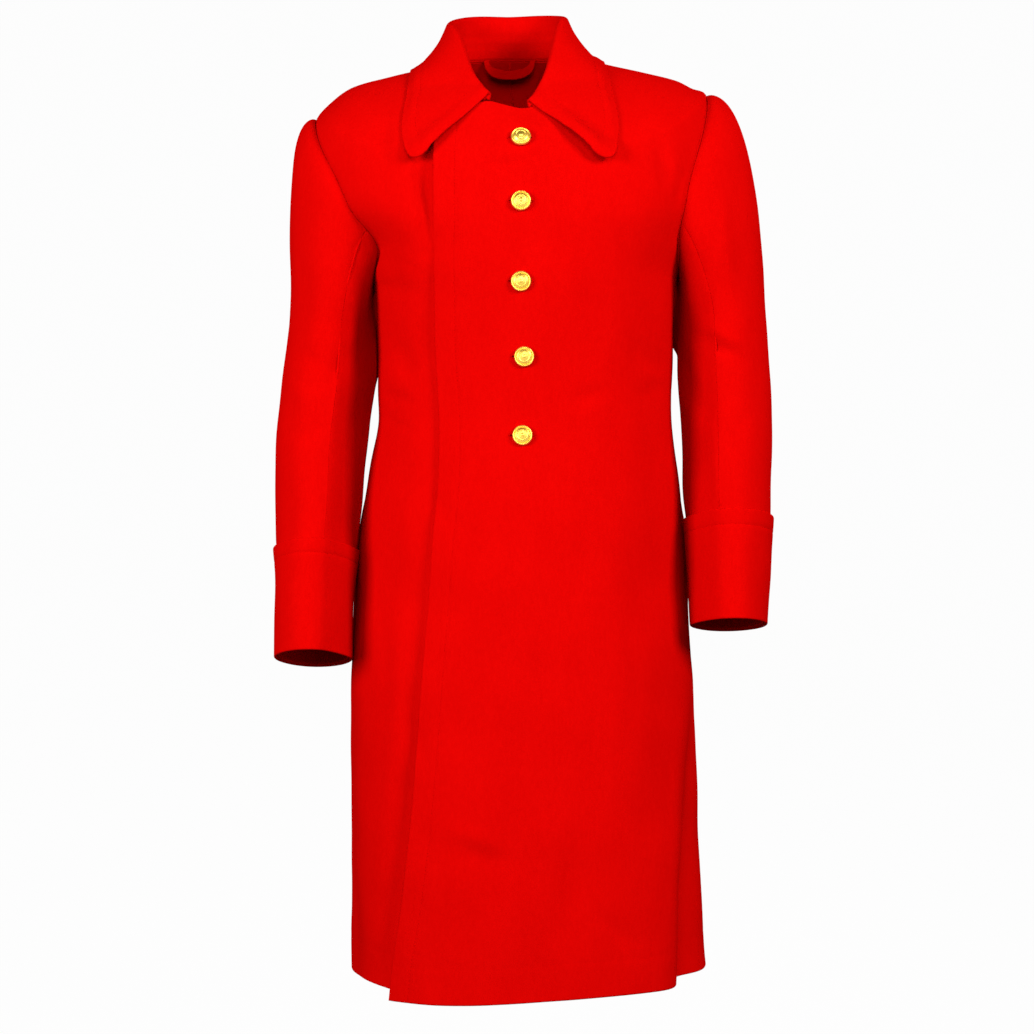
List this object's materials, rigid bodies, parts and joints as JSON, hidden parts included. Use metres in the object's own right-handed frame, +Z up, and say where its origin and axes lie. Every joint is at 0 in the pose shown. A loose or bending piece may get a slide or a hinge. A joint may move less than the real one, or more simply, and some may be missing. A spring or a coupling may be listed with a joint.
{
  "type": "overcoat",
  "caption": "Knee-length wool overcoat with a turned-down collar, wide overlapping front, turned-back cuffs and domed metal buttons, filled out as worn.",
  "frame": {"origin": "middle of the neck base, at the height where the coat rests on the wearer's shoulders", "axes": "+Z up, from hem to collar; the wearer faces -Y; +X is the wearer's left side"},
  "size_m": [0.5794, 0.35, 1.1452],
  "materials": {
    "wool": "matt fulled wool",
    "button_metal": "polished gilt"
  },
  "bodies": {
    "root": {"back_left": "wool", "back_right": "wool", "front_left": "wool", "front_right": "wool", "top_sleeve_left": "wool", "under_sleeve_left": "wool", "top_sleeve_right": "wool", "under_sleeve_right": "wool", "cuff_left": "wool", "cuff_right": "wool", "collar": "wool", "hanger_loop": "wool", "button_1": "button_metal", "button_2": "button_metal", "button_3": "button_metal", "button_4": "button_metal", "button_5": "button_metal"}
  },
  "joints": []
}
